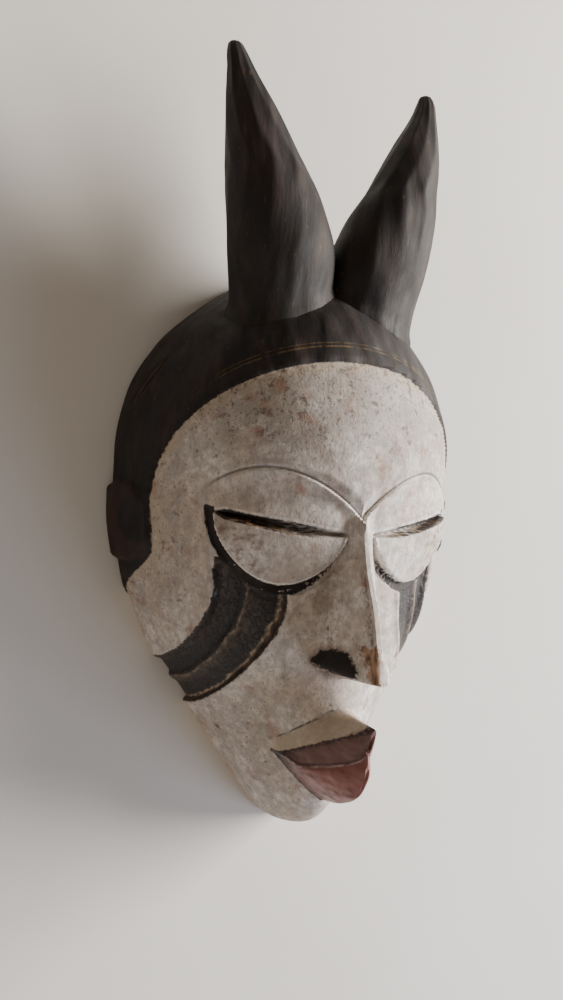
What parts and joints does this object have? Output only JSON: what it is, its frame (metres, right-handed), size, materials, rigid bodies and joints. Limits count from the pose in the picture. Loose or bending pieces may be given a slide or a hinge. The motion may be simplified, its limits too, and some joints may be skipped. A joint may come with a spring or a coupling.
{
  "type": "carved face mask",
  "caption": "Carved wooden face mask with closed eyes, dark hair cap and two tall pointed horns, hollowed from the back, lying face up.",
  "frame": {"origin": "centre of the bounding box in the plane of the flat back rim", "axes": "+X to the wearer's left, +Y from the chin to the horn tips, +Z out of the face"},
  "size_m": [0.2248, 0.444, 0.1275],
  "materials": {
    "painted_wood": "worn white clay face, dark brown polished hair and horns, dark red lips, matt bare wood inside"
  },
  "bodies": {
    "root": {"mask": "painted_wood"}
  },
  "joints": []
}
